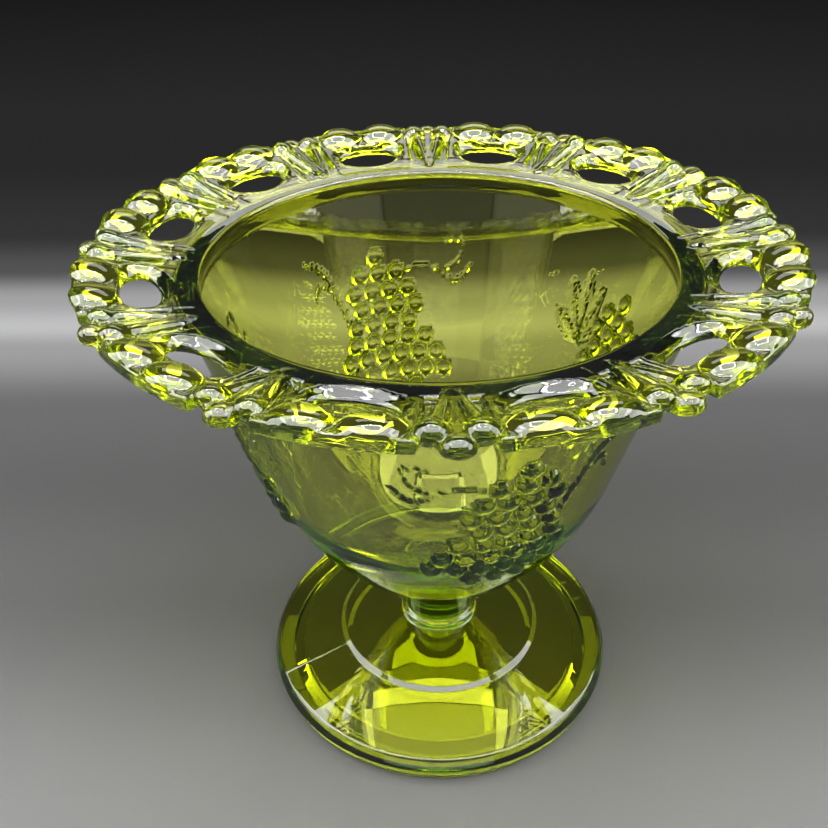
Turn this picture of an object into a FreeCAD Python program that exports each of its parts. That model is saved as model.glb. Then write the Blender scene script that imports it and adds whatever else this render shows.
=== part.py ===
import FreeCAD, Part
import math
import os
import Sketcher

# Footed glass dish with an open lace edge, in millimetres. +Z is up and the origin is the middle of
# the foot's underside. Angles round the dish start at the front (-Y) and grow towards +X.

SIZES = {
    # foot: a low cone of glass standing on a narrow land, hollow underneath
    "foot_radius": 55.8,
    "land_outer": 53.0,
    "land_inner": 48.5,
    "edge_low": 2.9,
    "edge_high": 5.9,
    "edge_round": 3.0,
    "foot_shoulder": 54.0,
    "shoulder_height": 8.4,
    "step_radius": 32.8,
    "step_foot": 12.9,
    "step_top_radius": 31.8,
    "step_height": 14.0,
    "hollow_edge": 45.0,
    "hollow_edge_height": 3.4,
    "hollow_crown": 10.0,
    "hollow_crown_height": 12.2,
    "hollow_top": 13.4,
    # stem: short neck that stands on a collar
    "collar_radius": 12.1,
    "collar_base": 18.2,
    "collar_height": 19.2,
    "neck_radius": 10.6,
    "neck_base": 20.9,
    "neck_top": 32.4,
    "neck_flare": 5.6,
    "collar_round": 2.4,
    # bowl: an arc from the stem runs into a straight flaring wall
    "bowl_base": 36.0,
    "bowl_base_radius": 11.9,
    "belly_radius": 51.7,
    "belly_height": 86.6,
    "belly_arc": 84.64,
    "seat_radius": 66.72,
    "seat_height": 139.5,
    "mouth_radius": 61.4,
    "inside_belly_radius": 46.71,
    "inside_belly_height": 88.0,
    "inside_arc": 55.0,
    "inside_turn_radius": 29.2,
    "inside_turn_height": 60.9,
    "inside_bottom": 50.3,
    # rim flange and lace: a plate that rises gently outwards
    "mouth_round": 0.9,
    "rim_height": 145.0,
    "rim_slope": 0.2,
    "rim_outer": 72.0,
    "rim_underside": 67.3,
    "lace_thickness": 3.8,
    "hole_circle": 75.3,
    "hole_length": 19.4,
    "hole_width": 9.2,
    "dish_length": 24.8,
    "dish_width": 16.8,
    "dish_depth": 2.4,
    "dish_outer": 79.6,
    "web_outer": 80.0,
    "fan_outer": 86.0,
    "web_angle": 25.0,
    "fan_angle": 11.6,
    "bead_sink": 0.4,
    "bead_width": 7.2,
    "tip_circle": 88.6,
    "tip_height": 4.6,
    "side_circle": 85.3,
    "side_height": 6.4,
    "side_angle": 3.1,
    "rib_start": 66.5,
    "rib_start_angle": 0.7,
    "rib_thin": 0.8,
    "rib_thick": 2.4,
    "arch_outer": 90.4,
    "arch_angle": 19.0,
    "petal_circle": 85.6,
    "petal_angle": 4.6,
    "petal_length": 13.4,
    "petal_width": 11.2,
    "petal_height": 6.9,
    # relief on the wall
    "relief_height": 1.1,
    "grape_radius": 3.3,
    "grape_sink": 1.5,
}

SHEET = "Sizes"
AXIS_ARC = "axis"
UNITS = 12
FIRST_TREFOIL = 2.3
QUARTERS = 4
GRAPE_ROWS = (1, 3, 4, 4, 4, 5, 6, 6, 3)
GRAPE_TOP = 118.5
GRAPE_DROP = 5.35
GRAPE_PITCH = 6.3
BUNCH_AXIS = 20.5
BUNCH_LEAN = 0.4

# relief strokes: start, middle and end as (angle round the dish, height), then the width
TENDRIL = (
    ((12.5, 112.6), (5.5, 114.3), (-1.5, 112.6), 1.7),
    ((-1.0, 112.9), (-6.0, 109.9), (-10.4, 114.9), 1.9),
    ((0.8, 112.6), (-5.6, 115.4), (-8.0, 121.2), 1.7),
    ((-8.2, 120.6), (-6.0, 122.9), (-2.2, 121.6), 1.4),
)
VINE = (
    ((32.4, 93.5), (33.6, 103.5), (37.4, 111.9), 1.8),
    ((36.8, 111.2), (40.6, 113.8), (43.4, 108.4), 1.6),
    ((36.0, 108.6), (38.2, 117.0), (44.6, 121.6), 1.6),
)
LEAF_STALK = (36.5, 100.5)
LEAF_TIPS = ((27.6, 109.5), (31.2, 118.0), (37.6, 121.0), (43.8, 117.0), (46.6, 107.5))
LEAF_LOBE_WIDTH = 5.6


def polar(radius, angle, height):
    """Point at an angle round the dish, in the frame whose front is +X."""
    turn = math.radians(angle)
    return FreeCAD.Vector(radius * math.cos(turn), radius * math.sin(turn), height)


def cell(alias):
    """A size as its value and the expression that reads it from the sheet."""
    return SIZES[alias], f"{SHEET}.{alias}"


def lace_height(alias, drop_alias=None):
    """Height of the lace's top face at a radius, or that much below it."""
    value = SIZES["rim_height"] + SIZES["rim_slope"] * (SIZES[alias] - SIZES["mouth_radius"])
    text = f"{SHEET}.rim_height + {SHEET}.rim_slope * ({SHEET}.{alias} - {SHEET}.mouth_radius)"
    if drop_alias:
        value -= SIZES[drop_alias]
        text += f" - {SHEET}.{drop_alias}"
    return value, text


def bowl_radius(height):
    """Outer radius of the bowl at a height."""
    rise = height - SIZES["belly_height"]
    if rise >= 0:
        run = SIZES["seat_radius"] - SIZES["belly_radius"]
        return SIZES["belly_radius"] + rise * run / (SIZES["seat_height"] - SIZES["belly_height"])
    lower = FreeCAD.Vector(SIZES["bowl_base_radius"], SIZES["bowl_base"], 0)
    upper = FreeCAD.Vector(SIZES["belly_radius"], SIZES["belly_height"], 0)
    centre = arc_centre(lower, upper, SIZES["belly_arc"], 1)
    return centre.x + math.sqrt(SIZES["belly_arc"] ** 2 - (height - centre.y) ** 2)


def arc_centre(start, end, radius, side):
    """Centre of the arc from start to end; side 1 has it left of the way, -1 right."""
    chord = end - start
    middle = start + chord * 0.5
    away = math.sqrt(radius ** 2 - (chord.Length / 2) ** 2)
    normal = FreeCAD.Vector(-chord.y, chord.x, 0).normalize()
    return middle + normal * away * side


def arc_edge(start, end, radius, side):
    centre = arc_centre(start, end, radius, side)
    outward = (start + (end - start) * 0.5 - centre).normalize()
    return Part.Arc(start, centre + outward * radius, end)


def axis_arc_edge(start, end):
    """Arc from start to its lowest point, end, which lies on the axis."""
    rise = start.y - end.y
    radius = (start.x ** 2 + rise ** 2) / (2 * rise)
    turn = math.asin(start.x / radius) / 2
    middle = FreeCAD.Vector(radius * math.sin(turn), end.y + radius * (1 - math.cos(turn)), 0)
    return Part.Arc(start, middle, end)


def make_sheet(doc):
    sheet = doc.addObject("Spreadsheet::Sheet", SHEET)
    for row, (alias, value) in enumerate(SIZES.items(), start=1):
        sheet.set(f"A{row}", alias)
        sheet.set(f"B{row}", str(value))
        sheet.setAlias(f"B{row}", alias)
    doc.recompute()
    return sheet


def new_body(doc, label):
    body = doc.addObject("PartDesign::Body", label)
    body.Label = label
    return body


def add_sketch(body, name, role):
    sketch = body.newObject("Sketcher::SketchObject", name)
    plane = [item for item in body.Origin.OriginFeatures if item.Role == role][0]
    sketch.AttachmentSupport = (plane, [""])
    sketch.MapMode = "FlatFace"
    return sketch


def bind(sketch, index, name, text):
    sketch.renameConstraint(index, name)
    sketch.setExpression(f".Constraints.{name}", text)


def fix_corner(sketch, edge, end, corner, number):
    """Tie one corner of an outline to its radius and height in the sheet."""
    (radius, radius_text), (height, height_text) = corner[0], corner[1]
    if radius == 0:
        sketch.addConstraint(Sketcher.Constraint("PointOnObject", edge, end, -2))
    else:
        index = sketch.addConstraint(Sketcher.Constraint("DistanceX", edge, end, radius))
        bind(sketch, index, f"radius_{number}", radius_text)
    if height == 0:
        sketch.addConstraint(Sketcher.Constraint("PointOnObject", edge, end, -1))
    else:
        index = sketch.addConstraint(Sketcher.Constraint("DistanceY", edge, end, height))
        bind(sketch, index, f"height_{number}", height_text)


def draw_outline(sketch, corners):
    """Closed outline of corners. Each is (radius, height), then what runs to the next corner:
    nothing for a line, AXIS_ARC for an arc about a point of the axis, or an arc and its side."""
    places = [FreeCAD.Vector(corner[0][0], corner[1][0], 0) for corner in corners]
    ends = []
    for number, corner in enumerate(corners):
        start = places[number]
        finish = places[(number + 1) % len(places)]
        if len(corner) == 2:
            edge = sketch.addGeometry(Part.LineSegment(start, finish), False)
        elif len(corner) == 3:
            edge = sketch.addGeometry(axis_arc_edge(start, finish), False)
        else:
            edge = sketch.addGeometry(arc_edge(start, finish, corner[2][0], corner[3]), False)
        begins_here = sketch.getPoint(edge, 1).distanceToPoint(start) < 1e-6
        ends.append((edge, 1, 2) if begins_here else (edge, 2, 1))
    for number, corner in enumerate(corners):
        edge, first, last = ends[number]
        after = ends[(number + 1) % len(ends)]
        sketch.addConstraint(Sketcher.Constraint("Coincident", edge, last, after[0], after[1]))
        fix_corner(sketch, edge, first, corner, number)
        if len(corner) == 4:
            index = sketch.addConstraint(Sketcher.Constraint("Radius", edge, corner[2][0]))
            bind(sketch, index, f"arc_{number}", corner[2][1])
        elif len(corner) == 3:
            sketch.addConstraint(Sketcher.Constraint("PointOnObject", edge, 3, -2))


def turned_body(doc, label, corners, angle_alias=None):
    """Body of revolution about Z, whole or a sector centred on +X."""
    body = new_body(doc, label)
    sketch = add_sketch(body, f"{label}_outline", "XZ_Plane")
    draw_outline(sketch, corners)
    turn = body.newObject("PartDesign::Revolution", f"{label}_turn")
    turn.Profile = sketch
    turn.ReferenceAxis = (sketch, ["V_Axis"])
    if angle_alias:
        turn.Midplane = True
        turn.setExpression("Angle", f"{SHEET}.{angle_alias} * 1 deg")
    body.Tip = turn
    return body


def make_foot(doc):
    axis = (0.0, "0")
    corners = [
        (axis, cell("hollow_top")),
        (cell("hollow_crown"), cell("hollow_crown_height")),
        (cell("hollow_edge"), cell("hollow_edge_height")),
        (cell("land_inner"), axis),
        (cell("land_outer"), axis, cell("edge_round"), 1),
        (cell("foot_radius"), cell("edge_low")),
        (cell("foot_radius"), cell("edge_high"), cell("edge_round"), 1),
        (cell("foot_shoulder"), cell("shoulder_height")),
        (cell("step_radius"), cell("step_foot")),
        (cell("step_top_radius"), cell("step_height")),
        (cell("collar_radius"), cell("collar_base")),
        (axis, cell("collar_base")),
    ]
    return turned_body(doc, "foot", corners)


def make_stem(doc):
    axis = (0.0, "0")
    corners = [
        (axis, cell("collar_base")),
        (cell("collar_radius"), cell("collar_base")),
        (cell("collar_radius"), cell("collar_height"), cell("collar_round"), -1),
        (cell("neck_radius"), cell("neck_base")),
        (cell("neck_radius"), cell("neck_top"), cell("neck_flare"), -1),
        (cell("bowl_base_radius"), cell("bowl_base")),
        (axis, cell("bowl_base")),
    ]
    return turned_body(doc, "stem", corners)


def bowl_outside():
    axis = (0.0, "0")
    return [
        (axis, cell("bowl_base")),
        (cell("bowl_base_radius"), cell("bowl_base"), cell("belly_arc"), 1),
        (cell("belly_radius"), cell("belly_height")),
        (cell("seat_radius"), cell("seat_height")),
    ]


def make_bowl(doc):
    corners = bowl_outside() + [
        (cell("mouth_radius"), cell("seat_height")),
        (cell("inside_belly_radius"), cell("inside_belly_height"), cell("inside_arc"), -1),
        (cell("inside_turn_radius"), cell("inside_turn_height"), AXIS_ARC),
        ((0.0, "0"), cell("inside_bottom")),
    ]
    return turned_body(doc, "bowl", corners)


def make_bowl_core(doc):
    """The bowl's outer form without its hollow, for trimming the relief."""
    corners = bowl_outside() + [((0.0, "0"), cell("seat_height"))]
    core = turned_body(doc, "bowl_core", corners)
    # its seam lies opposite the relief, where no relief edge can run along it
    core.Placement.Rotation = FreeCAD.Rotation(FreeCAD.Vector(0, 0, 1), 180)
    return core


def make_relief_skin(doc):
    """The bowl's outer form grown by the relief height."""
    grown = []
    for radius, height, *arc in bowl_outside()[1:]:
        wider = (radius[0] + SIZES["relief_height"], f"{radius[1]} + {SHEET}.relief_height")
        grown.append((wider, height, *arc))
    axis = (0.0, "0")
    corners = [(axis, cell("bowl_base"))] + grown + [(axis, cell("seat_height"))]
    return turned_body(doc, "relief_skin", corners)


def make_rim_ring(doc):
    round_in = (SIZES["mouth_radius"] + SIZES["mouth_round"],
                f"{SHEET}.mouth_radius + {SHEET}.mouth_round")
    round_down = (SIZES["rim_height"] - SIZES["mouth_round"],
                  f"{SHEET}.rim_height - {SHEET}.mouth_round")
    corners = [
        (cell("mouth_radius"), cell("seat_height")),
        (cell("seat_radius"), cell("seat_height")),
        (cell("rim_underside"), lace_height("rim_underside", "lace_thickness")),
        (cell("rim_outer"), lace_height("rim_outer", "lace_thickness")),
        (cell("rim_outer"), lace_height("rim_outer")),
        (round_in, cell("rim_height"), cell("mouth_round"), 1),
        (cell("mouth_radius"), round_down),
    ]
    return turned_body(doc, "rim_ring", corners)


def lace_sector(doc, label, inner, outer, angle):
    """Sector of the sloping lace plate between two radii."""
    corners = [
        (cell(inner), lace_height(inner, "lace_thickness")),
        (cell(outer), lace_height(outer, "lace_thickness")),
        (cell(outer), lace_height(outer)),
        (cell(inner), lace_height(inner)),
    ]
    return turned_body(doc, label, corners, angle)


def place(item, radius, angle, height):
    """Bind a primitive's place to expressions for radius, angle in degrees and height."""
    item.setExpression("Placement.Base.x", f"({radius}) * cos(({angle}) * 1 deg)")
    item.setExpression("Placement.Base.y", f"({radius}) * sin(({angle}) * 1 deg)")
    item.setExpression("Placement.Base.z", height)


def fused(doc, name, pieces):
    fuse = doc.addObject("Part::MultiFuse", name)
    fuse.Shapes = pieces
    return fuse


def cut(doc, name, base, tool):
    result = doc.addObject("Part::Cut", name)
    result.Base = base
    result.Tool = tool
    return result


def common(doc, name, first, second):
    result = doc.addObject("Part::Common", name)
    result.Base = first
    result.Tool = second
    return result


def copy_at(doc, label, master, angle):
    """Node that repeats a master solid at an angle round the dish."""
    node = doc.addObject("Part::Compound", label)
    node.Links = [master]
    node.Label = label
    front = FreeCAD.Rotation(FreeCAD.Vector(0, 0, 1), angle - 90)
    node.Placement = FreeCAD.Placement(FreeCAD.Vector(), front)
    return node


def ellipsoid(doc, name, length, width, height):
    """Ellipsoid by its full size along the rim, across it and upwards, from expressions."""
    item = doc.addObject("Part::Ellipsoid", name)
    item.setExpression("Radius2", f"({width}) / 2")
    item.setExpression("Radius3", f"({length}) / 2")
    item.setExpression("Radius1", f"({height}) / 2")
    return item


def make_opening(doc):
    """Tool for one lace opening: an oval hole in the middle of a shallow dish."""
    oval = doc.addObject("Part::Ellipse", "hole_oval")
    oval.setExpression("MajorRadius", f"{SHEET}.hole_length / 2")
    oval.setExpression("MinorRadius", f"{SHEET}.hole_width / 2")
    oval.Placement = FreeCAD.Placement(FreeCAD.Vector(), FreeCAD.Rotation(90, 0, 0))
    oval.setExpression("Placement.Base.x", f"{SHEET}.hole_circle")
    oval.setExpression("Placement.Base.z", f"{SHEET}.seat_height - {SHEET}.lace_thickness")
    hole = doc.addObject("Part::Extrusion", "hole_tool")
    hole.Base = oval
    hole.DirMode = "Custom"
    hole.Dir = FreeCAD.Vector(0, 0, 1)
    hole.Solid = True
    hole.setExpression("LengthFwd", f"5 * {SHEET}.lace_thickness")
    dish = ellipsoid(doc, "dish_form", f"{SHEET}.dish_length", f"{SHEET}.dish_width",
                     f"2 * {SHEET}.dish_depth")
    lean = math.degrees(math.atan(SIZES["rim_slope"]))
    dish.Placement.Rotation = FreeCAD.Rotation(FreeCAD.Vector(0, 1, 0), -lean)
    place(dish, f"{SHEET}.hole_circle", "0", lace_height("hole_circle")[1])
    limit = doc.addObject("Part::Cylinder", "dish_limit")
    limit.setExpression("Radius", f"{SHEET}.dish_outer")
    limit.setExpression("Height", f"2 * {SHEET}.rim_height")
    return fused(doc, "opening_tool", [hole, common(doc, "dish_tool", dish, limit)])


def ring_of(doc, name, master, first):
    """Copies of a tool at every unit of the lace, first at an angle in the frame facing +X."""
    copies = []
    for unit in range(UNITS):
        turned = doc.addObject("Part::Compound", f"{name}_{unit + 1:02d}")
        turned.Links = [master]
        spin = FreeCAD.Rotation(FreeCAD.Vector(0, 0, 1), first + unit * 360 / UNITS)
        turned.Placement = FreeCAD.Placement(FreeCAD.Vector(), spin)
        copies.append(turned)
    return copies


def make_rim(doc, opening):
    half_unit = 180 / UNITS
    tools = ring_of(doc, "rim_opening", opening, FIRST_TREFOIL - 90 + half_unit)
    gathered = doc.addObject("Part::Compound", "rim_openings")
    gathered.Links = tools
    rim = cut(doc, "rim", make_rim_ring(doc), gathered)
    rim.Label = "rim"
    return rim


def middle_height(circle, height):
    """Height of the middle of a bead or petal, whose underside sinks just below the plate."""
    bottom, text = lace_height(circle, "lace_thickness")
    value = bottom - SIZES["bead_sink"] + SIZES[height] / 2
    return value, f"{text} - {SHEET}.bead_sink + {SHEET}.{height} / 2"


def make_bead(doc, name, circle, height, angle):
    bead = ellipsoid(doc, name, f"{SHEET}.bead_width", f"{SHEET}.bead_width", f"{SHEET}.{height}")
    place(bead, f"{SHEET}.{circle}", angle, middle_height(circle, height)[1])
    return bead


def make_rib(doc, name, start_angle, circle, height, angle):
    """Tapered rib from the flange to the middle of a bead, half sunk in the plate."""
    start = polar(SIZES["rib_start"], start_angle, lace_height("rib_start")[0] - SIZES["rib_thin"] / 2)
    end = polar(SIZES[circle], angle, middle_height(circle, height)[0])
    rib = doc.addObject("Part::Cone", name)
    rib.setExpression("Radius1", f"{SHEET}.rib_thin")
    rib.setExpression("Radius2", f"{SHEET}.rib_thick")
    rib.Height = (end - start).Length
    rib.Placement = FreeCAD.Placement(start, FreeCAD.Rotation(FreeCAD.Vector(0, 0, 1), end - start))
    return rib


def turned_tool(doc, name, master, angle):
    turned = doc.addObject("Part::Compound", name)
    turned.Links = [master]
    spin = FreeCAD.Rotation(FreeCAD.Vector(0, 0, 1), angle)
    turned.Placement = FreeCAD.Placement(FreeCAD.Vector(), spin)
    return turned


def make_trefoil(doc, opening, rim_ring):
    """Three ribs that fan out from the flange and end in three beads, on their share of the web."""
    pieces = [
        lace_sector(doc, "trefoil_web", "rim_outer", "web_outer", "web_angle"),
        lace_sector(doc, "trefoil_fan", "web_outer", "fan_outer", "fan_angle"),
    ]
    side_bead = ("side_circle", "side_height")
    beads = (("left", -1, side_bead), ("middle", 0, ("tip_circle", "tip_height")),
             ("right", 1, side_bead))
    for name, side, where in beads:
        angle = side * SIZES["side_angle"]
        pieces.append(make_bead(doc, f"bead_{name}", *where, f"{side} * {SHEET}.side_angle"))
        pieces.append(make_rib(doc, f"rib_{name}", side * SIZES["rib_start_angle"], *where, angle))
    blank = fused(doc, "trefoil_blank", pieces)
    half_unit = 180 / UNITS
    openings = doc.addObject("Part::Compound", "trefoil_openings")
    openings.Links = [turned_tool(doc, f"trefoil_opening_{side}", opening, side * half_unit)
                      for side in (-1, 1)]
    opened = cut(doc, "trefoil_open", blank, openings)
    return cut(doc, "trefoil_master", opened, rim_ring)


def make_arch(doc, opening, trefoil_blank):
    """Outer bar of an opening with two petals, trimmed to its neighbours."""
    bar = lace_sector(doc, "arch_bar", "web_outer", "arch_outer", "arch_angle")
    pieces = [cut(doc, "arch_bar_open", bar, opening)]
    for name, side in (("left", -1), ("right", 1)):
        petal = ellipsoid(doc, f"petal_{name}", f"{SHEET}.petal_length", f"{SHEET}.petal_width",
                          f"{SHEET}.petal_height")
        middle = middle_height("petal_circle", "petal_height")[1]
        angle = side * SIZES["petal_angle"]
        petal.Placement.Rotation = FreeCAD.Rotation(FreeCAD.Vector(0, 0, 1), angle)
        place(petal, f"{SHEET}.petal_circle", f"{side} * {SHEET}.petal_angle", middle)
        pieces.append(petal)
    half_unit = 180 / UNITS
    tools = doc.addObject("Part::Compound", "arch_tools")
    tools.Links = [turned_tool(doc, f"arch_neighbour_{side}", trefoil_blank, side * half_unit)
                   for side in (-1, 1)]
    return cut(doc, "arch_master", fused(doc, "arch_blank", pieces), tools)


def grape_places():
    """Angle and height of every grape of a bunch: rows that widen downwards, staggered."""
    for row, count in enumerate(GRAPE_ROWS):
        height = GRAPE_TOP - row * GRAPE_DROP
        pitch = math.degrees(GRAPE_PITCH / bowl_radius(height))
        same_count = row > 0 and GRAPE_ROWS[row - 1] == count
        stagger = pitch / 4 * (-1) ** row if same_count else 0
        axis = BUNCH_AXIS - BUNCH_LEAN * row + stagger
        for number in range(count):
            yield axis + (number - (count - 1) / 2) * pitch, height


def wall_normal(angle, height):
    """Direction square to the bowl's wall, outwards."""
    reach = 0.5
    slope = (bowl_radius(height + reach) - bowl_radius(height - reach)) / (2 * reach)
    normal = polar(1, angle, -slope)
    return normal.normalize()


def make_bunch(doc):
    """Grapes as round caps whose flat backs lie on the wall."""
    grapes = []
    for number, (angle, height) in enumerate(grape_places(), start=1):
        grape = doc.addObject("Part::Sphere", f"grape_{number:02d}")
        grape.setExpression("Radius", f"{SHEET}.grape_radius")
        grape.setExpression("Angle1", f"asin({SHEET}.grape_sink / {SHEET}.grape_radius)")
        normal = wall_normal(angle, height)
        centre = polar(bowl_radius(height), angle, height) - normal * SIZES["grape_sink"]
        facing = FreeCAD.Rotation(FreeCAD.Vector(0, 0, 1), normal)
        grape.Placement = FreeCAD.Placement(centre, facing)
        grapes.append(grape)
    bunch = doc.addObject("Part::Compound", "bunch_master")
    bunch.Links = grapes
    return bunch


def wall_point(spot):
    """Where a spot on the wall (angle, height) shows when the relief is seen square on."""
    angle, height = spot
    across = bowl_radius(height) * math.sin(math.radians(angle))
    return FreeCAD.Vector(across, height, 0)


def stroke_sketch(doc, name, start, middle, end, left, right):
    """Pointed stroke between two arcs that bow to either side of the line through the middle."""
    first, last, through = wall_point(start), wall_point(end), wall_point(middle)
    way = (last - first).normalize()
    normal = FreeCAD.Vector(-way.y, way.x, 0)
    sketch = doc.addObject("Sketcher::SketchObject", f"{name}_outline")
    sketch.Placement = FreeCAD.Placement(FreeCAD.Vector(), FreeCAD.Rotation(90, 0, 90))
    sketch.addGeometry(Part.Arc(first, through + normal * left, last), False)
    sketch.addGeometry(Part.Arc(first, through - normal * right, last), False)
    return sketch


def make_stroke(doc, name, start, middle, end, width):
    """Solid that pierces the wall from outside along one relief stroke."""
    sketch = stroke_sketch(doc, name, start, middle, end, width / 2, width / 2)
    solid = doc.addObject("Part::Extrusion", name)
    solid.Base = sketch
    solid.DirMode = "Custom"
    solid.Dir = FreeCAD.Vector(1, 0, 0)
    solid.Solid = True
    solid.setExpression("LengthFwd", f"{SHEET}.seat_radius + {SHEET}.relief_height")
    return solid


def make_relief(doc, name, solids, skin, core):
    """Strokes raised from the wall: what they share with the skin, outside the bowl."""
    raised = common(doc, f"{name}_raised", fused(doc, f"{name}_strokes", solids), skin)
    return cut(doc, f"{name}_master", raised, core)


def make_strokes(doc, name, strokes):
    return [make_stroke(doc, f"{name}_stroke_{number}", *stroke)
            for number, stroke in enumerate(strokes, start=1)]


def leaf_strokes():
    for tip in LEAF_TIPS:
        middle = ((LEAF_STALK[0] + tip[0]) / 2, (LEAF_STALK[1] + tip[1]) / 2)
        yield LEAF_STALK, middle, tip, LEAF_LOBE_WIDTH


def copies(doc, label, master, count, first, step):
    return [copy_at(doc, f"{label}_{number + 1:02d}", master, first + number * step)
            for number in range(count)]


def check(doc, nodes):
    """Stop when anything failed, because a failed object doesn't stop a recompute."""
    for item in doc.Objects:
        if "Invalid" in item.State or "Error" in item.State:
            raise RuntimeError(f"{item.Label} failed: {item.State}")
    for node in nodes:
        if node.Shape.isNull() or not node.Shape.isValid():
            raise RuntimeError(f"{node.Label} has no valid shape")
        if not node.Shape.Solids:
            raise RuntimeError(f"{node.Label} holds no solid")


def main():
    doc = FreeCAD.newDocument("lace_dish")
    make_sheet(doc)
    foot = make_foot(doc)
    stem = make_stem(doc)
    bowl = make_bowl(doc)
    core = make_bowl_core(doc)
    skin = make_relief_skin(doc)
    opening = make_opening(doc)
    rim = make_rim(doc, opening)
    trefoil = make_trefoil(doc, opening, doc.getObject("rim_ring"))
    arch = make_arch(doc, opening, doc.getObject("trefoil_blank"))
    bunch = make_bunch(doc)
    tendril = make_relief(doc, "tendril", make_strokes(doc, "tendril", TENDRIL), skin, core)
    vine = make_relief(doc, "vine", make_strokes(doc, "vine", VINE), skin, core)
    leaf = make_relief(doc, "leaf", make_strokes(doc, "leaf", leaf_strokes()), skin, core)
    unit = 360 / UNITS
    quarter = 360 / QUARTERS
    nodes = [foot, stem, bowl, rim]
    nodes += copies(doc, "trefoil", trefoil, UNITS, FIRST_TREFOIL, unit)
    nodes += copies(doc, "arch", arch, UNITS, FIRST_TREFOIL + unit / 2, unit)
    nodes += copies(doc, "grapes", bunch, QUARTERS, 0, quarter)
    nodes += copies(doc, "tendril", tendril, QUARTERS, 0, quarter)
    nodes += copies(doc, "vine", vine, 2, 0, 2 * quarter)
    nodes += copies(doc, "leaf", leaf, 2, quarter, 2 * quarter)
    doc.recompute()
    check(doc, nodes)
    os.makedirs("parts", exist_ok=True)
    for node in nodes:
        node.Shape.exportStep(f"parts/{node.Label}.step")
        print(f"{node.Label}: {len(node.Shape.Solids)} solid(s), {node.Shape.Volume:.0f} mm3")


main()
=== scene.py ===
import math

import bpy
import numpy as np
from mathutils import Matrix, Vector


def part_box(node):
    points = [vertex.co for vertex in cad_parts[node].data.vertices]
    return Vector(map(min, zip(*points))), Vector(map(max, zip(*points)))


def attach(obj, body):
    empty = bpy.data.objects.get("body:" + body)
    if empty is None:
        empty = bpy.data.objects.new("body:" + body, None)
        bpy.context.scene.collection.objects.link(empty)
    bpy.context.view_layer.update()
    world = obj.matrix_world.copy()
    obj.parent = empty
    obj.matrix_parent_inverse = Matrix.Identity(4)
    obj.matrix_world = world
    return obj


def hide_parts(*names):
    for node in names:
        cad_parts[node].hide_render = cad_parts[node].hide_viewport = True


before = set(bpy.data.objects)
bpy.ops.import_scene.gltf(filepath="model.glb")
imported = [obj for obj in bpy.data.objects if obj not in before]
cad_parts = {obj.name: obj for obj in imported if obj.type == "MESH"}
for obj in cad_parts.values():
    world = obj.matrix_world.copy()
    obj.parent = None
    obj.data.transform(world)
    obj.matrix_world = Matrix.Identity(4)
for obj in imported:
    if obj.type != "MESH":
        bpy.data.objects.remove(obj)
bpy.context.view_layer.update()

# Footed green glass dish with an open lace edge. Lengths are in millimetres until a mesh is made;
# angles round the dish start at the front (-Y) and grow towards +X.

MM = 0.001

# ---------------------------------------------------------------- sizes

FOOT_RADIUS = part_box("foot")[1][0] / MM
COLLAR_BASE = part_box("foot")[1][2] / MM
COLLAR_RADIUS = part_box("stem")[1][0] / MM
BOWL_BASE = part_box("bowl")[0][2] / MM
SEAT_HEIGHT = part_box("bowl")[1][2] / MM
SEAT_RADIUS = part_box("bowl")[1][0] / MM

# foot, from the shoulder inwards
SHOULDER = (54.0, 8.4)
STEP_OUTER = (32.9, 12.9)
STEP_INNER = (31.5, 14.0)
LAND = (53.0, 48.5)
HOLLOW_EDGE = (45.0, 3.4)
HOLLOW_CROWN = (10.0, 12.2)
HOLLOW_TOP = 13.4
EDGE_HEIGHT = 5.0
NECK_RADIUS = 10.6
NECK = (20.8, 31.0)
COLLAR_TOP = 19.9

# mould seams on the foot, one of the two angles, and their size
SEAM_ANGLE = -67.0
SEAM_HEIGHT = 0.16
SEAM_WIDTH = 0.5

# bowl wall: a cone above the belly, an arc below it
BELLY = (51.7, 86.6)
BELLY_ARC = 84.64
BOWL_BASE_RADIUS = 11.9
WALL_BOTTOM = 40.6
INSIDE_BELLY = (46.71, 88.0)
INSIDE_ARC = 55.0
INSIDE_TURN = (29.2, 60.9)
INSIDE_BOTTOM = 50.3

# rim and lace
MOUTH_RADIUS = 61.4
RIM_HEIGHT = 145.0
RIM_SLOPE = 0.2
LACE_THICKNESS = 3.8
UNITS = 12
FIRST_TREFOIL = 2.3
HALF_UNIT = 180 / UNITS
WALL_TOP = 143.5
FLANGE_OUTER = 70.0
BLEND = 0.6

# lace openings and the dish round each: along and across the plate, then up
OPENING_RADIUS = 75.3
OPENING_SIZE = (4.6, 9.7)
SCOOP_SIZE = (8.4, 12.4, 3.6)
SCOOP_RISE = 1.0
SCOOP_OUTER = 79.6

# trefoils: the wedge of plate, then the ribs and beads as (along, across, rise)
WEB = (62.0, 85.0)
WEB_HALF = 4.6
WEB_SPREAD = 0.18
WEB_SPREAD_FROM = 66.0
WEB_TOP = -1.3
TIP_BEAD = (88.6, 0.0, -2.6)
SIDE_BEAD = (85.2, 4.6, -0.9)
BEAD_SIZE = (3.6, 3.6, 3.0)
MIDDLE_RIB_START = (66.0, 0.0, -0.4)
SIDE_RIB_START = (66.4, 0.8, -0.4)

# arches and their two petals
ARCH_HALF = math.radians(10.4)
ARCH = (64.0, 90.4)
PETAL_RADIUS = 85.6
PETAL_TURN = math.radians(4.6)
PETAL_SIZE = (5.6, 6.7, 3.3)
PETAL_SINK = 0.6

# mesh
COLUMNS = 480
LACE_STEP = 0.95
LACE_INNER = 59.6
LACE_OUTER = 94.0
LACE_LOW = 136.4
LACE_TOP = 154.0


# ---------------------------------------------------------------- helpers

def smooth_union(first, second, blend):
    mix = np.clip(0.5 + 0.5 * (second - first) / blend, 0, 1)
    return second + (first - second) * mix - blend * mix * (1 - mix)


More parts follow.
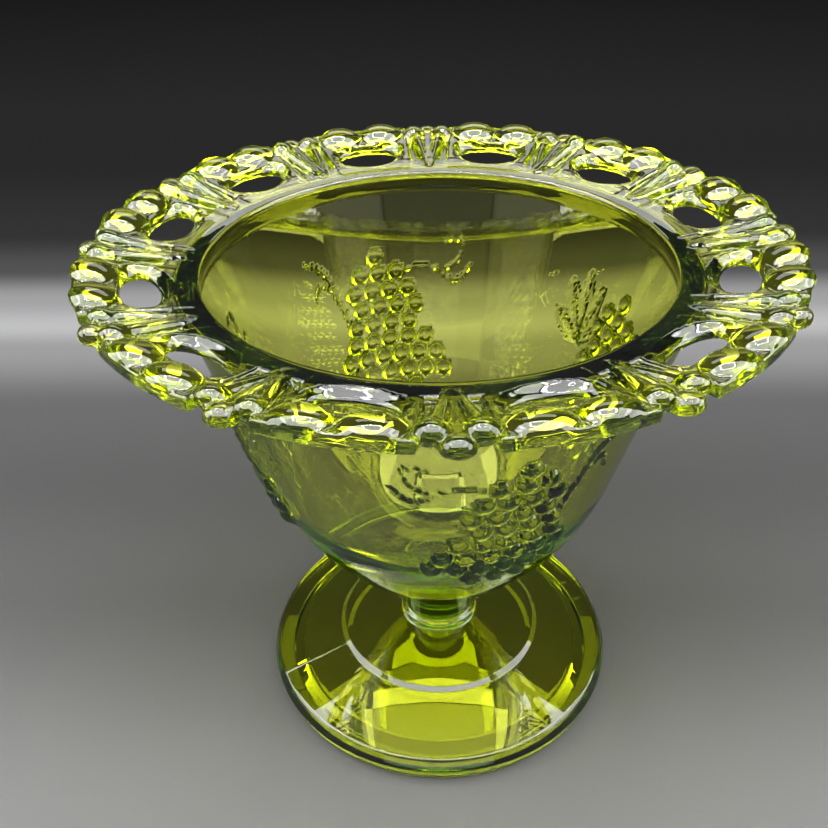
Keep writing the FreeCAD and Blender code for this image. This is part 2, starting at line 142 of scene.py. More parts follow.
def smooth_cut(body, tool, blend):
    """Body without the tool, with the edge between them rounded."""
    return -smooth_union(-body, tool, blend)


def ellipsoid_distance(offsets, sizes):
    scaled = sum((offset / size) ** 2 for offset, size in zip(offsets, sizes)) ** 0.5
    slope = sum((offset / size ** 2) ** 2 for offset, size in zip(offsets, sizes)) ** 0.5
    return scaled * (scaled - 1) / np.maximum(slope, 1e-9)


def rounded_slab(plan, height_distance, edge):
    """Plate from its outline distance and its thickness distance, with rounded edges."""
    across = plan + edge
    up = height_distance + edge
    outside = np.hypot(np.maximum(across, 0), np.maximum(up, 0))
    return outside + np.minimum(np.maximum(across, up), 0) - edge


def cone_distance(place, start, end, start_radius, end_radius):
    """Distance to a tapered bar with round ends."""
    axis = np.array(end) - np.array(start)
    length = np.linalg.norm(axis)
    away = [here - there for here, there in zip(place, start)]
    along = sum(part * way for part, way in zip(away, axis)) / length ** 2
    share = np.clip(along, 0, 1)
    gap = sum((part - share * way) ** 2 for part, way in zip(away, axis)) ** 0.5
    return gap - (start_radius + (end_radius - start_radius) * share)


# ---------------------------------------------------------------- bowl wall

def arc_centre(lower, upper, radius):
    """Centre of the arc that bows outwards between two points of the profile."""
    low, high = np.array(lower, float), np.array(upper, float)
    chord = high - low
    away = math.sqrt(radius ** 2 - (np.linalg.norm(chord) / 2) ** 2)
    normal = np.array([-chord[1], chord[0]]) / np.linalg.norm(chord)
    return (low + high) / 2 + normal * away


OUTER_CENTRE = arc_centre((BOWL_BASE_RADIUS, BOWL_BASE), BELLY, BELLY_ARC)
OUTER_SLOPE = (SEAT_RADIUS - BELLY[0]) / (SEAT_HEIGHT - BELLY[1])
INNER_CENTRE = arc_centre(INSIDE_TURN, INSIDE_BELLY, INSIDE_ARC)
INNER_SLOPE = (MOUTH_RADIUS - INSIDE_BELLY[0]) / (SEAT_HEIGHT - INSIDE_BELLY[1])


def wall_radius(height, belly, slope, centre, arc):
    height = np.asarray(height, float)
    cone = belly[0] + slope * (height - belly[1])
    drop = np.clip((height - centre[1]) / arc, -1, 1)
    bowed = centre[0] + arc * np.sqrt(1 - drop ** 2)
    return np.where(height >= belly[1], cone, bowed)


def outer_radius(height):
    return wall_radius(height, BELLY, OUTER_SLOPE, OUTER_CENTRE, BELLY_ARC)


def inner_radius(height):
    cone = wall_radius(height, INSIDE_BELLY, INNER_SLOPE, INNER_CENTRE, INSIDE_ARC)
    return np.minimum(cone, MOUTH_RADIUS)


# ---------------------------------------------------------------- lace edge

def polar_place(points):
    """Angle in degrees and radius of points in millimetres."""
    angle = np.degrees(np.arctan2(points[..., 0], -points[..., 1]))
    return angle, np.hypot(points[..., 0], points[..., 1])


def rim_field(radius, height, rise):
    """Upper wall of the bowl and the flange round its mouth."""
    lean = math.cos(math.atan(OUTER_SLOPE))
    wall = np.maximum(radius - outer_radius(height), inner_radius(height) - radius) * lean
    wall = np.maximum(wall, height - WALL_TOP)
    flange = rounded_slab(np.maximum(MOUTH_RADIUS - radius, radius - FLANGE_OUTER), slab(rise, 0.0), 0.7)
    return smooth_union(wall, flange, 1.4)


def slab(rise, top):
    """Thickness distance of the plate, from a height over the flange down to its underside."""
    half = (LACE_THICKNESS + top) / 2
    return np.abs(rise + LACE_THICKNESS - half) - half


def trefoil_field(along, across, rise):
    """Three ribs that fan out and end in beads, on a wedge of plate. Across is never negative."""
    sides = across - WEB_HALF - WEB_SPREAD * (along - WEB_SPREAD_FROM)
    wedge = np.maximum(sides, np.maximum(along - WEB[1], WEB[0] - along))
    body = rounded_slab(wedge, slab(rise, WEB_TOP), 0.8)
    place = (along, across, rise)
    middle_rib = cone_distance(place, MIDDLE_RIB_START, TIP_BEAD, 0.8, 2.5)
    side_rib = cone_distance(place, SIDE_RIB_START, SIDE_BEAD, 0.7, 2.6)
    body = smooth_union(body, np.minimum(middle_rib, side_rib), BLEND)
    tip, side = (ellipsoid_distance([here - there for here, there in zip(place, bead)],
                                    BEAD_SIZE) for bead in (TIP_BEAD, SIDE_BEAD))
    return smooth_union(body, smooth_union(tip, side, 0.35), 0.5)


def arch_field(along, across, rise):
    """Stretch of plate between two trefoils, its outer edge swollen into two petals."""
    radius = np.hypot(along, across)
    ends = across * math.cos(ARCH_HALF) - along * math.sin(ARCH_HALF)
    plan = np.maximum(np.maximum(radius - ARCH[1], ARCH[0] - radius), ends)
    plate = rounded_slab(plan, slab(rise, 0.0), 1.0)
    outwards = (math.cos(PETAL_TURN), math.sin(PETAL_TURN))
    east, north = along - PETAL_RADIUS * outwards[0], across - PETAL_RADIUS * outwards[1]
    out = east * outwards[0] + north * outwards[1]
    side = -east * outwards[1] + north * outwards[0]
    petal = ellipsoid_distance((out, side, rise + PETAL_SINK), PETAL_SIZE)
    return smooth_union(plate, petal, 0.8)


def lace_field(points):
    """Signed distance, roughly, to the rim and lace: negative inside the glass."""
    angle, radius = polar_place(points)
    height = points[..., 2]
    rise = height - RIM_HEIGHT - RIM_SLOPE * (radius - MOUTH_RADIUS)
    from_trefoil = np.abs((angle - FIRST_TREFOIL + HALF_UNIT) % (2 * HALF_UNIT) - HALF_UNIT)
    turn = np.radians(from_trefoil)
    trefoil = trefoil_field(radius * np.cos(turn), radius * np.sin(turn), rise)
    turn = np.radians(HALF_UNIT - from_trefoil)
    along, across = radius * np.cos(turn), radius * np.sin(turn)
    lace = smooth_union(arch_field(along, across, rise), trefoil, 0.7)
    lace = smooth_cut(lace, rise + LACE_THICKNESS + 0.1, BLEND)
    outwards = along - OPENING_RADIUS
    scoop = ellipsoid_distance((outwards, across, rise - SCOOP_RISE), SCOOP_SIZE)
    scoop = np.maximum(scoop, along - SCOOP_OUTER)
    lace = smooth_cut(lace, scoop, 0.7)
    hole = ellipsoid_distance((outwards, across), OPENING_SIZE)
    lace = smooth_cut(lace, hole, 1.2)
    rim = smooth_cut(rim_field(radius, height, rise), scoop, 0.7)
    return smooth_union(rim, lace, BLEND)


def cylinder_points(angles, radii, heights):
    turn = np.radians(angles)
    return np.stack([radii * np.sin(turn), -radii * np.cos(turn), heights + 0 * turn], -1)


def gradient(field, points, reach=0.02):
    parts = []
    for axis in range(3):
        step = np.zeros(3)
        step[axis] = reach
        parts.append((field(points + step) - field(points - step)) / (2 * reach))
    return np.stack(parts, -1)


def surface_net(field, columns, radii, heights):
    """Closed-up quads round a field sampled on a ring of columns, one vertex per mixed cell."""
    unit_columns = columns // UNITS
    unit = FIRST_TREFOIL + np.arange(unit_columns) * 360 / columns
    grid = np.meshgrid(unit, radii, heights, indexing="ij")
    values = np.tile(field(cylinder_points(*grid)), (UNITS, 1, 1))
    inside = values < 0
    size = np.array(values.shape)
    corners = [(i, j, k) for i in (0, 1) for j in (0, 1) for k in (0, 1)]

    def shifted(array, corner):
        array = np.roll(array, -corner[0], axis=0)
        return array[:, corner[1]:size[1] - 1 + corner[1], corner[2]:size[2] - 1 + corner[2]]

    count_inside = sum(shifted(inside, corner).astype(int) for corner in corners)
    active = (count_inside > 0) & (count_inside < 8)
    number = -np.ones(active.shape, int)
    number[active] = np.arange(active.sum())
    total = np.zeros(active.shape + (3,))
    hits = np.zeros(active.shape)
    for axis in range(3):
        for start in corners:
            if start[axis]:
                continue
            end = tuple(1 if i == axis else start[i] for i in range(3))
            first, last = shifted(values, start), shifted(values, end)
            crossing = (first < 0) != (last < 0)
            share = np.where(crossing, first / np.where(crossing, first - last, 1), 0)
            for i in range(3):
                total[..., i] += np.where(crossing, start[i] + (share if i == axis else 0), 0)
            hits += crossing
    cells = np.argwhere(active)
    spot = cells + total[active] / hits[active][:, None]
    angles = FIRST_TREFOIL + spot[:, 0] * 360 / columns
    radius = radii[0] + spot[:, 1] * (radii[1] - radii[0])
    height = heights[0] + spot[:, 2] * (heights[1] - heights[0])
    points = cylinder_points(angles, radius, height)
    quads = [net_quads(inside, number, axis) for axis in range(3)]
    return points, np.concatenate(quads)


def net_quads(inside, number, axis):
    """One quad round every grid edge along an axis that crosses the surface, facing outwards."""
    second, third = (axis + 1) % 3, (axis + 2) % 3
    change = inside != np.roll(inside, -1, axis=axis)
    if axis:
        change = np.take(change, range(inside.shape[axis] - 1), axis=axis)
    where = np.argwhere(change)
    ring = []
    for back_second, back_third in ((1, 1), (0, 1), (0, 0), (1, 0)):
        cell = where.copy()
        cell[:, second] -= back_second
        cell[:, third] -= back_third
        cell[:, 0] %= inside.shape[0]
        ring.append(cell)
    fits = np.ones(len(where), bool)
    for cell in ring:
        fits &= (cell >= 0).all(1) & (cell < np.array(number.shape)).all(1)
    quads = np.stack([number[tuple(cell[fits].T)] for cell in ring], 1)
    leaving = inside[tuple(where[fits].T)]
    quads[leaving] = quads[leaving][:, ::-1]
    return quads


def settle(field, points, rounds=4):
    """Move points onto the surface of a field."""
    for _ in range(rounds):
        value = field(points)
        slope = gradient(field, points)
        steep = np.maximum((slope ** 2).sum(-1), 0.05)
        step = np.clip(value / steep, -0.4, 0.4)
        points = points - slope * step[:, None]
    return points


# ---------------------------------------------------------------- relief on the wall

GRAPE_ROWS = (1, 3, 4, 4, 4, 5, 6, 6, 3)
GRAPE_TOP = 118.5
GRAPE_DROP = 5.35
GRAPE_PITCH = 6.3
GRAPE_RADIUS = 3.35
GRAPE_SINK = 1.35
BUNCH_AXIS = 20.5
BUNCH_LEAN = 0.4

# strokes: start, middle and end as (angle, height), then the width
TENDRIL = (
    ((12.5, 112.6), (5.5, 114.3), (-1.5, 112.6), 1.9),
    ((-1.0, 112.9), (-6.0, 109.9), (-10.4, 114.9), 2.1),
    ((0.8, 112.6), (-5.6, 115.4), (-8.0, 121.2), 1.9),
    ((-8.2, 120.6), (-6.0, 122.9), (-2.2, 121.6), 1.6),
)
VINE = (
    ((32.4, 93.5), (33.6, 103.5), (37.4, 111.9), 2.0),
    ((36.8, 111.2), (40.6, 113.8), (43.4, 108.4), 1.8),
    ((36.0, 108.6), (38.2, 117.0), (44.6, 121.6), 1.8),
)
LEAF_STALK = (36.5, 100.5)
LEAF_TIPS = ((27.6, 109.5), (31.2, 118.0), (37.6, 121.0), (43.8, 117.0), (46.6, 107.5))
LEAF_LOBE_WIDTH = 6.4


def grape_places():
    """Angle and height of every grape of a bunch: rows that widen downwards, staggered."""
    for row, count in enumerate(GRAPE_ROWS):
        height = GRAPE_TOP - row * GRAPE_DROP
        pitch = math.degrees(GRAPE_PITCH / float(outer_radius(height)))
        same_count = row > 0 and GRAPE_ROWS[row - 1] == count
        stagger = pitch / 4 * (-1) ** row if same_count else 0
        axis = BUNCH_AXIS - BUNCH_LEAN * row + stagger
        for number in range(count):
            yield axis + (number - (count - 1) / 2) * pitch, height


def bunch_relief(across, up):
    """Height of the bunch over the wall, at places in millimetres along and up the wall."""
    best = np.full(across.shape, -1.0)
    for angle, height in grape_places():
        centre = math.radians(angle) * float(outer_radius(height))
        gap = (across - centre) ** 2 + (up - height) ** 2
        cap = np.sqrt(np.maximum(GRAPE_RADIUS ** 2 - gap, 0)) - GRAPE_SINK
        best = np.maximum(best, cap)
    return best


def stroke_relief(across, up, start, middle, end, width, height, round_power=0.5):
    """Height of one pointed stroke that runs through three spots."""
    spots = [np.array([math.radians(a) * float(outer_radius(z)), z]) for a, z in (start, middle, end)]
    bend = 2 * spots[1] - (spots[0] + spots[2]) / 2
    best = np.full(across.shape, -1.0)
    for share in np.linspace(0, 1, 25):
        spot = (1 - share) ** 2 * spots[0] + 2 * share * (1 - share) * bend + share ** 2 * spots[2]
        half = width / 2 * (0.45 + 0.55 * math.sin(math.pi * share))
        gap = ((across - spot[0]) ** 2 + (up - spot[1]) ** 2) / half ** 2
        best = np.maximum(best, np.maximum(1 - gap, 0) ** round_power * height - 0.001)
    return best


def leaf_relief(across, up):
    best = np.full(across.shape, -1.0)
    for tip in LEAF_TIPS:
        middle = ((LEAF_STALK[0] + tip[0]) / 2, (LEAF_STALK[1] + tip[1]) / 2)
        lobe = stroke_relief(across, up, LEAF_STALK, middle, tip, LEAF_LOBE_WIDTH, 0.8, 0.35)
        vein = stroke_relief(across, up, LEAF_STALK, middle, tip, 1.5, 0.6)
        best = np.maximum(best, lobe + np.maximum(vein, 0))
    return best


def relief(angle, height):
    """How far the pattern stands off the wall. It repeats every quarter of the way round."""
    quarter = np.floor((angle + 25) / 90)
    local = angle - quarter * 90
    across = np.radians(local) * outer_radius(height)
    raised = bunch_relief(across, height)
    for stroke in TENDRIL:
        raised = np.maximum(raised, stroke_relief(across, height, *stroke, 0.85))
    vines = np.full(angle.shape, -1.0)
    for stroke in VINE:
        vines = np.maximum(vines, stroke_relief(across, height, *stroke, 0.85))
    leaves = leaf_relief(across, height)
    odd = quarter % 2 == 1
    raised = np.maximum(raised, np.where(odd, leaves, vines))
    return np.maximum(raised, 0)


# ---------------------------------------------------------------- whole glass body

class Shell:
    """Rings of points and the faces between them."""

    def __init__(self):
        self.points = []
        self.normals = []
        self.faces = []
        self.count = 0

    def add(self, points, normals):
        first = self.count
        self.points.append(points)
        self.normals.append(normals)
        self.count += len(points)
        return np.arange(first, self.count)

    def join(self, upper, lower):
        """Faces between two rings that run the same way; one may have half the points."""
        if len(upper) == len(lower):
            after = np.roll(upper, -1), np.roll(lower, -1)
            self.faces += np.stack([upper, lower, after[1], after[0]], 1).tolist()
        elif len(upper) == 2 * len(lower):
            even, odd, after = upper[0::2], upper[1::2], np.roll(upper[0::2], -1)
            last = np.roll(lower, -1)
            self.faces += np.stack([even, lower, odd], 1).tolist()
            self.faces += np.stack([odd, lower, last], 1).tolist()
            self.faces += np.stack([odd, last, after], 1).tolist()
        else:
            even, odd, after = lower[0::2], lower[1::2], np.roll(lower[0::2], -1)
            last = np.roll(upper, -1)
            self.faces += np.stack([upper, even, odd], 1).tolist()
            self.faces += np.stack([upper, odd, last], 1).tolist()
            self.faces += np.stack([last, odd, after], 1).tolist()

    def close(self, ring, pole):
        """Fan from a ring to a point above it; a reversed ring fans to a point below."""
        after = np.roll(ring, -1)
        self.faces += np.stack([np.full(len(ring), pole[0]), ring, after], 1).tolist()


def ring_angles(columns):
    """Every so many of the full ring's columns, so that rings of different counts line up."""
    every = COLUMNS // columns
    return FIRST_TREFOIL + (np.arange(columns) * every + 0.5) * 360 / COLUMNS


def wall_place(angles, height):
    height = np.full(angles.shape, float(height))
    radius = outer_radius(height)
    lean = np.arctan((outer_radius(height + 0.05) - outer_radius(height - 0.05)) / 0.1)
    rise = relief(angles, height)
    return cylinder_points(angles, radius + rise * np.cos(lean), height - rise * np.sin(lean))


def wall_ring(shell, columns, height):
    """Ring of the bowl's outer wall, relief and all, with exact normals."""
    angles = ring_angles(columns)
    turn, lift = 0.03, 0.03
    around = wall_place(angles + turn, height) - wall_place(angles - turn, height)
    upward = wall_place(angles, height + lift) - wall_place(angles, height - lift)
    normals = np.cross(around, upward)
    normals /= np.linalg.norm(normals, axis=1)[:, None]
    return shell.add(wall_place(angles, height), normals)


def seam_rise(angles, radius):
    """Height of the two mould seams that run straight out over the foot."""
    off = (angles - SEAM_ANGLE + 90) % 180 - 90
    across = np.radians(off) * radius
    return SEAM_HEIGHT * np.exp(-(across / SEAM_WIDTH) ** 2)


def foot_top_ring(shell, columns, radius, height, normal):
    """Ring on the foot's outer slope, where the mould seams stand up."""
    angles = ring_angles(columns)
    rise = seam_rise(angles, radius)
    turn = 0.05
    tilt = (seam_rise(angles + turn, radius) - seam_rise(angles - turn, radius)) / (2 * turn)
    tilt /= math.radians(1) * radius
    points = cylinder_points(angles, np.full(columns, radius), height + rise)
    slopes = cylinder_points(angles, np.full(columns, normal[0]), np.full(columns, normal[1]))
    slopes -= tilt[:, None] * cylinder_points(angles + 90, np.ones(columns), np.zeros(columns))
    slopes /= np.linalg.norm(slopes, axis=1)[:, None]
    return shell.add(points, slopes)


def turned_ring(shell, columns, radius, height, normal):
    """Plain ring with one normal, given as (outwards, upwards), all the way round."""
    angles = ring_angles(columns)
    points = cylinder_points(angles, np.full(columns, radius), np.full(columns, height))
    slopes = cylinder_points(angles, np.full(columns, normal[0]), np.full(columns, normal[1]))
    return shell.add(points, slopes)


def rounded_path(corners, longest):
    """Points and left-hand normals along straight runs whose corners are rounded."""
    places = [np.array(corner[:2], float) for corner in corners]
    path = []

    def straight(start, end, last):
        way = (end - start) / max(np.linalg.norm(end - start), 1e-9)
        normal = np.array([-way[1], way[0]])
        count = max(1, math.ceil(np.linalg.norm(end - start) / longest))
        for step in range(count + last):
            path.append((start + (end - start) * step / count, normal))

    here = places[0]
    for number in range(1, len(places) - 1):
        corner, radius = places[number], corners[number][2]
        before = (corner - places[number - 1]) / np.linalg.norm(corner - places[number - 1])
        after = (places[number + 1] - corner) / np.linalg.norm(places[number + 1] - corner)
        turn = math.atan2(before[0] * after[1] - before[1] * after[0], before @ after)
        reach = radius * abs(math.tan(turn / 2))
        entry, leave = corner - before * reach, corner + after * reach
        straight(here, entry, 0)
        side = math.copysign(1, turn)
        centre = entry + np.array([-before[1], before[0]]) * side * radius
        steps = max(2, math.ceil(abs(turn) / math.radians(13)))
        for step in range(steps):
            angle = turn * step / steps
            spoke = entry - centre
            point = centre + np.array([spoke[0] * math.cos(angle) - spoke[1] * math.sin(angle),
                                       spoke[0] * math.sin(angle) + spoke[1] * math.cos(angle)])
            path.append((point, (centre - point) / radius * side))
        here = leave
    straight(here, places[-1], 1)
    return path


def open_rings(points, faces):
    """Loops of the net's open edge, each in order round the dish: outer wall, then inner."""
    edges = np.concatenate([np.stack([faces[:, i], faces[:, (i + 1) % 4]], 1) for i in range(4)])
    edges = np.sort(edges, 1)
    unique, counts = np.unique(edges, axis=0, return_counts=True)
    loose = np.unique(unique[counts == 1])
    angle, radius = polar_place(points[loose])
    order = np.argsort((angle - FIRST_TREFOIL) % 360)
    loose, radius = loose[order], radius[order]
    middle = (radius.min() + radius.max()) / 2
    return loose[radius > middle], loose[radius <= middle]


def add_lace(shell):
    radii = np.arange(LACE_INNER, LACE_OUTER, LACE_STEP)
    heights = np.arange(LACE_LOW, LACE_TOP, LACE_STEP)
    points, faces = surface_net(lace_field, COLUMNS, radii, heights)
    points = settle(lace_field, points)
    normals = gradient(lace_field, points)
    normals /= np.linalg.norm(normals, axis=1)[:, None]
    outer, inner = open_rings(points, faces)
    ring = shell.add(points, normals)
    shell.faces += (faces + ring[0]).tolist()
    return ring[outer], ring[inner]


def wall_heights(top):
    """Heights of the rings down the outer wall, close together where the relief is."""
    heights = np.concatenate([np.arange(top, 124.5, -2.2), np.arange(124, 72.2, -1.0),
                              np.arange(71.4, 52, -2.4), np.arange(50.6, 40, -1.6)])
    return heights


def add_outer_wall(shell, seam):
    last = seam
    for height in wall_heights(LACE_LOW - 0.8):
        columns = COLUMNS if height > 72 else COLUMNS // 2
        ring = wall_ring(shell, columns, height)
        shell.join(last, ring)
        last = ring
    return last


def add_stem_and_foot(shell, last):
    """From the bowl's underside down the neck, over the foot, round its edge to the hollow.

    Each corner is (radius, height, radius of its rounding).
    """
    corners = [
        (float(outer_radius(WALL_BOTTOM)), WALL_BOTTOM),
        (BOWL_BASE_RADIUS, BOWL_BASE - 0.6, 5.0),
        (NECK_RADIUS, NECK[1], 8.0),
        (NECK_RADIUS, NECK[0], 1.2),
        (COLLAR_RADIUS, COLLAR_TOP, 0.9),
        (COLLAR_RADIUS + 0.2, COLLAR_BASE, 0.9),
        (*STEP_INNER, 0.7),
        (*STEP_OUTER, 0.8),
        (*SHOULDER, 1.8),
        (FOOT_RADIUS, EDGE_HEIGHT, 2.4),
        (LAND[0] + 1.2, 0.0, 2.2),
        (LAND[1], 0.0, 0.8),
        (*HOLLOW_EDGE, 4.0),
        (*HOLLOW_CROWN, 8.0),
        (1.2, HOLLOW_TOP),
    ]
    for (radius, height), normal in rounded_path(corners, 3.0)[1:]:
        on_top = STEP_OUTER[0] < radius < SHOULDER[0] and normal[1] > 0.5
        # the count of columns changes by half or double at most from ring to ring
        wanted = COLUMNS if on_top else COLUMNS // 4
        columns = min(max(wanted, len(last) // 2), len(last) * 2)
        make_ring = foot_top_ring if on_top else turned_ring
        ring = make_ring(shell, columns, radius, height, normal)
        shell.join(last, ring)
        last = ring
    pole = shell.add(np.array([[0.0, 0.0, HOLLOW_TOP + 0.05]]), np.array([[0.0, 0.0, -1.0]]))
    shell.close(last[::-1], pole)


def add_inside(shell, seam):
    """The hollow of the bowl, from the rim down to the middle of its bottom."""
    last = seam
    for height in np.arange(LACE_LOW - 0.8, INSIDE_TURN[1], -2.2):
        columns = COLUMNS // 2 if height > LACE_LOW - 2 else COLUMNS // 4
        radius = float(inner_radius(height))
        slope = float(inner_radius(height + 0.05) - inner_radius(height - 0.05)) / 0.1
        lean = math.atan(slope)
        ring = turned_ring(shell, columns, radius, height, (-math.cos(lean), math.sin(lean)))
        shell.join(ring, last)
        last = ring
    rise = INSIDE_TURN[1] - INSIDE_BOTTOM
    bottom_arc = (INSIDE_TURN[0] ** 2 + rise ** 2) / (2 * rise)
    widest = math.asin(INSIDE_TURN[0] / bottom_arc)
    for turn in np.linspace(widest, 0.05, 14):
        radius, height = bottom_arc * math.sin(turn), INSIDE_BOTTOM + bottom_arc * (1 - math.cos(turn))
        ring = turned_ring(shell, COLUMNS // 4, radius, height, (-math.sin(turn), math.cos(turn)))
        shell.join(ring, last)
        last = ring
    pole = shell.add(np.array([[0.0, 0.0, INSIDE_BOTTOM]]), np.array([[0.0, 0.0, 1.0]]))
    shell.close(last, pole)


def make_dish():
    shell = Shell()
    outer_seam, inner_seam = add_lace(shell)
    add_stem_and_foot(shell, add_outer_wall(shell, outer_seam))
    add_inside(shell, inner_seam)
    mesh = bpy.data.meshes.new("dish_glass")
    points = np.concatenate(shell.points) * MM
    mesh.from_pydata(points.tolist(), [], shell.faces)
    mesh.shade_smooth()
    mesh.normals_split_custom_set_from_vertices(np.concatenate(shell.normals).tolist())
    dish = bpy.data.objects.new("dish_glass", mesh)
    bpy.context.scene.collection.objects.link(dish)
    return dish


# ---------------------------------------------------------------- materials

def new_material(name):
    material = bpy.data.materials.new(name)
    material.use_nodes = True
    return material, material.node_tree.nodes, material.node_tree.links


GLASS_IOR = 1.52
GLASS_TINT = (0.883, 0.910, 0.0, 1)
GLASS_DENSITY = 300.0

# table: a square plane, and its painted light and shade from front to back along the stretch that the
# camera sees
TABLE_SIZE = 8
TABLE_MIDDLE = 3.6
TABLE_DROP = 0.0001
PAINTED_LIGHT_FROM = -0.15
PAINTED_LIGHT_TO = 0.65
# painted light and shade on the table: lighter at the front, darker going back, a painted bright band of
# light, then near black
PAINTED_LIGHT_TONES = ((0.0, 0.078), (0.10, 0.067), (0.22, 0.032), (0.30, 0.024), (0.37, 0.027), (0.44, 0.066),
         (0.47, 0.104), (0.51, 0.072), (0.56, 0.014), (0.63, 0.003), (0.8, 0.001), (1.0, 0.002))


def green_glass():
    material, nodes, links = new_material("green_glass")
    shader = nodes["Principled BSDF"]
    shader.inputs["Base Color"].default_value = (1, 1, 1, 1)
    shader.inputs["Roughness"].default_value = 0.0
    shader.inputs["IOR"].default_value = GLASS_IOR
    shader.inputs["Transmission Weight"].default_value = 1.0
    absorption = nodes.new("ShaderNodeVolumeAbsorption")
    absorption.inputs["Color"].default_value = GLASS_TINT
    absorption.inputs["Density"].default_value = GLASS_DENSITY
    links.new(absorption.outputs["Volume"], nodes["Material Output"].inputs["Volume"])
    return material


def painted_light_table_material():
    """Table top with painted light and shade: its tone changes with the distance from the front, lighter
    at the front, with a painted bright band of light further back and near black beyond it.
    """
    material, nodes, links = new_material("table_top_painted_light")
    shader = nodes["Principled BSDF"]
    shader.inputs["Roughness"].default_value = 0.8
    shader.inputs["Specular IOR Level"].default_value = 0.1
    place = nodes.new("ShaderNodeTexCoord")
    split = nodes.new("ShaderNodeSeparateXYZ")
    links.new(place.outputs["Object"], split.inputs["Vector"])
    spread = nodes.new("ShaderNodeMapRange")
    spread.inputs["From Min"].default_value = PAINTED_LIGHT_FROM - TABLE_MIDDLE
    spread.inputs["From Max"].default_value = PAINTED_LIGHT_TO - TABLE_MIDDLE
    links.new(split.outputs["Y"], spread.inputs["Value"])
    ramp = nodes.new("ShaderNodeValToRGB")
    ramp.color_ramp.interpolation = "EASE"
    while len(ramp.color_ramp.elements) < len(PAINTED_LIGHT_TONES):
        ramp.color_ramp.elements.new(1.0)
    # each stop sets the painted light and shade at one distance along the table
    for element, (position, painted_tone) in zip(ramp.color_ramp.elements, PAINTED_LIGHT_TONES):
        element.position = position
        element.color = (painted_tone, painted_tone, painted_tone * 1.02, 1)
    links.new(spread.outputs["Result"], ramp.inputs["Fac"])
    links.new(ramp.outputs["Color"], shader.inputs["Base Color"])
    return material


# ---------------------------------------------------------------- setting

def make_table():
    bpy.ops.mesh.primitive_plane_add(size=TABLE_SIZE, location=(0, TABLE_MIDDLE, -TABLE_DROP))
    table = bpy.context.object
    table.name = "table"
    table.data.materials.append(painted_light_table_material())


def add_area_light(name, place, size, brightness):
    """Rectangle of even brightness, 1 being white in the picture, that faces down."""
    light = bpy.data.lights.new(name, "AREA")
    light.shape = "RECTANGLE"
    light.size, light.size_y = size
    light.energy = brightness * math.pi * size[0] * size[1]
    lamp = bpy.data.objects.new(name, light)
    lamp.location = place
    bpy.context.scene.collection.objects.link(lamp)
    return lamp


# soft boxes round the dish: middle and half width in degrees from the back (+Y towards +X),
# lowest and highest elevation in degrees, and brightness
PANELS = (
    ("back", 0, 25, 33, 46, 3.2),
    ("left_low", -92, 22, 5, 28, 8.0),
    ("left_high", -92, 22, 28, 55, 9.0),
    ("right_low", 92, 22, 5, 28, 8.0),
    ("right_high", 92, 22, 28, 55, 7.0),
    ("front_left", -132, 18, 0, 30, 0.6),
    ("front_right", 132, 18, 0, 30, 0.6),
    ("front_low", 180, 30, -8, 2, 1.4),
    ("front", 180, 30, 4, 36, 0.2),
)
PANEL_REACH = 1.3
PANEL_AIM = (0, 0, 0.12)
RING_CENTRE = (-0.02, 0.12, 0.94)
RING_REACH = 0.23
RING_BAR = 0.05


def add_panel(name, azimuth, half_width, low, high, brightness):
    turn, lift = math.radians(azimuth), math.radians((low + high) / 2)
    way = Vector((math.sin(turn) * math.cos(lift), math.cos(turn) * math.cos(lift), math.sin(lift)))
    width = 2 * PANEL_REACH * math.cos(lift) * math.tan(math.radians(half_width))
    height = 2 * PANEL_REACH * math.tan(math.radians((high - low) / 2))
    place = Vector(PANEL_AIM) + way * PANEL_REACH
    panel = add_area_light(name, place, (width, height), brightness)
    panel.rotation_euler = (Vector(PANEL_AIM) - place).to_track_quat("-Z", "Y").to_euler()


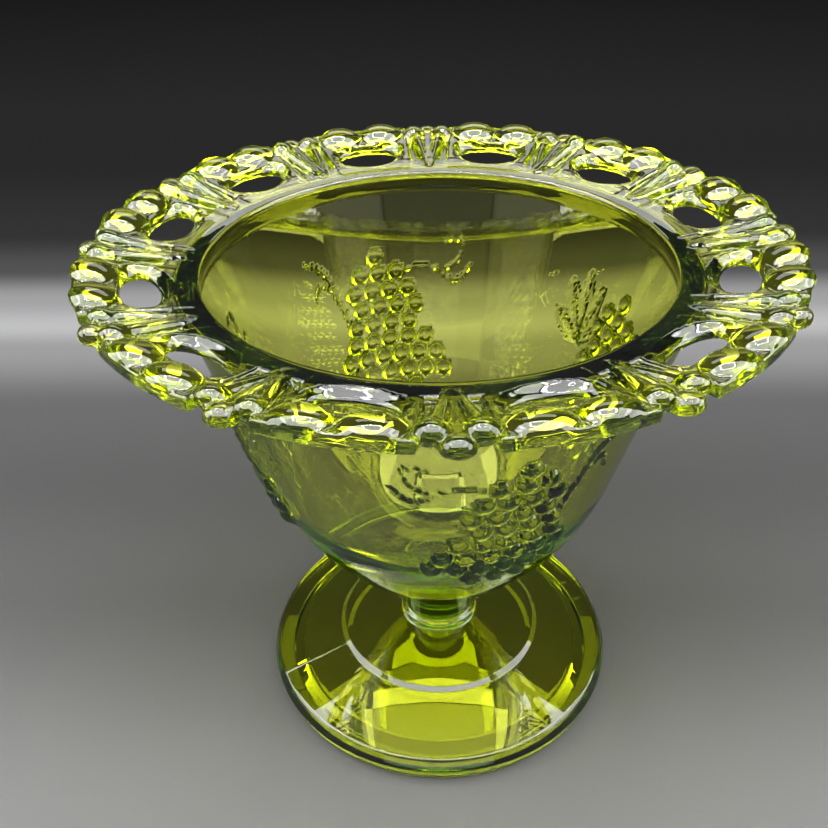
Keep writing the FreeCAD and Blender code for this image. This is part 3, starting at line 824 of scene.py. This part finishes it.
def make_lights():
    """A light box: pale ceiling with a square ring lamp, soft sides, open front, dark back."""
    add_area_light("ceiling_lamp", (-0.02, 0.12, 0.95), (0.41, 0.41), 7.0)
    add_area_light("ceiling_front", (0, -0.47, 1.0), (1.8, 0.62), 8.5)
    add_area_light("ceiling_left", (-0.59, 0.12, 1.0), (0.62, 0.56), 8.5)
    add_area_light("ceiling_right", (0.59, 0.12, 1.0), (0.62, 0.56), 8.5)
    for number in range(4):
        turn = math.radians(90 * number)
        place = Vector(RING_CENTRE) + Vector((math.cos(turn), math.sin(turn), 0)) * RING_REACH
        long_side = 2 * RING_REACH - RING_BAR
        size = (RING_BAR, long_side) if number % 2 == 0 else (long_side, RING_BAR)
        add_area_light(f"ring_{number + 1}", place, size, 40.0)
    for panel in PANELS:
        add_panel(*panel)
    world = bpy.data.worlds.new("room")
    world.use_nodes = True
    world.node_tree.nodes["Background"].inputs["Color"].default_value = (1, 1, 1, 1)
    world.node_tree.nodes["Background"].inputs["Strength"].default_value = 0.08
    bpy.context.scene.world = world


# camera: place in metres, then its turns downwards, towards +X and about the line of sight
CAMERA_PLACE = (0.0, -0.224, 0.2475)
CAMERA_PITCH = math.radians(34.24)
CAMERA_YAW = math.radians(-1.80)
CAMERA_ROLL = math.radians(-1.14)
CAMERA_LENS = 40.65


def make_camera():
    forward = Vector((math.sin(CAMERA_YAW) * math.cos(CAMERA_PITCH),
                      math.cos(CAMERA_YAW) * math.cos(CAMERA_PITCH), -math.sin(CAMERA_PITCH)))
    level = forward.cross(Vector((0, 0, 1))).normalized()
    upright = level.cross(forward)
    across = level * math.cos(CAMERA_ROLL) + upright * math.sin(CAMERA_ROLL)
    up = upright * math.cos(CAMERA_ROLL) - level * math.sin(CAMERA_ROLL)
    camera = bpy.data.cameras.new("camera")
    camera.lens = CAMERA_LENS
    camera.clip_start = 0.01
    view = bpy.data.objects.new("camera", camera)
    turn = Matrix((across, up, -forward)).transposed()
    view.matrix_world = Matrix.Translation(CAMERA_PLACE) @ turn.to_4x4()
    bpy.context.scene.collection.objects.link(view)
    bpy.context.scene.camera = view


make_camera()
make_table()
make_lights()
dish = make_dish()
dish.data.materials.append(green_glass())
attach(dish, "root")
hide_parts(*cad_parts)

scene = bpy.context.scene
scene.view_settings.view_transform = "Standard"
scene.cycles.max_bounces = 32
scene.cycles.transmission_bounces = 32
scene.cycles.glossy_bounces = 16
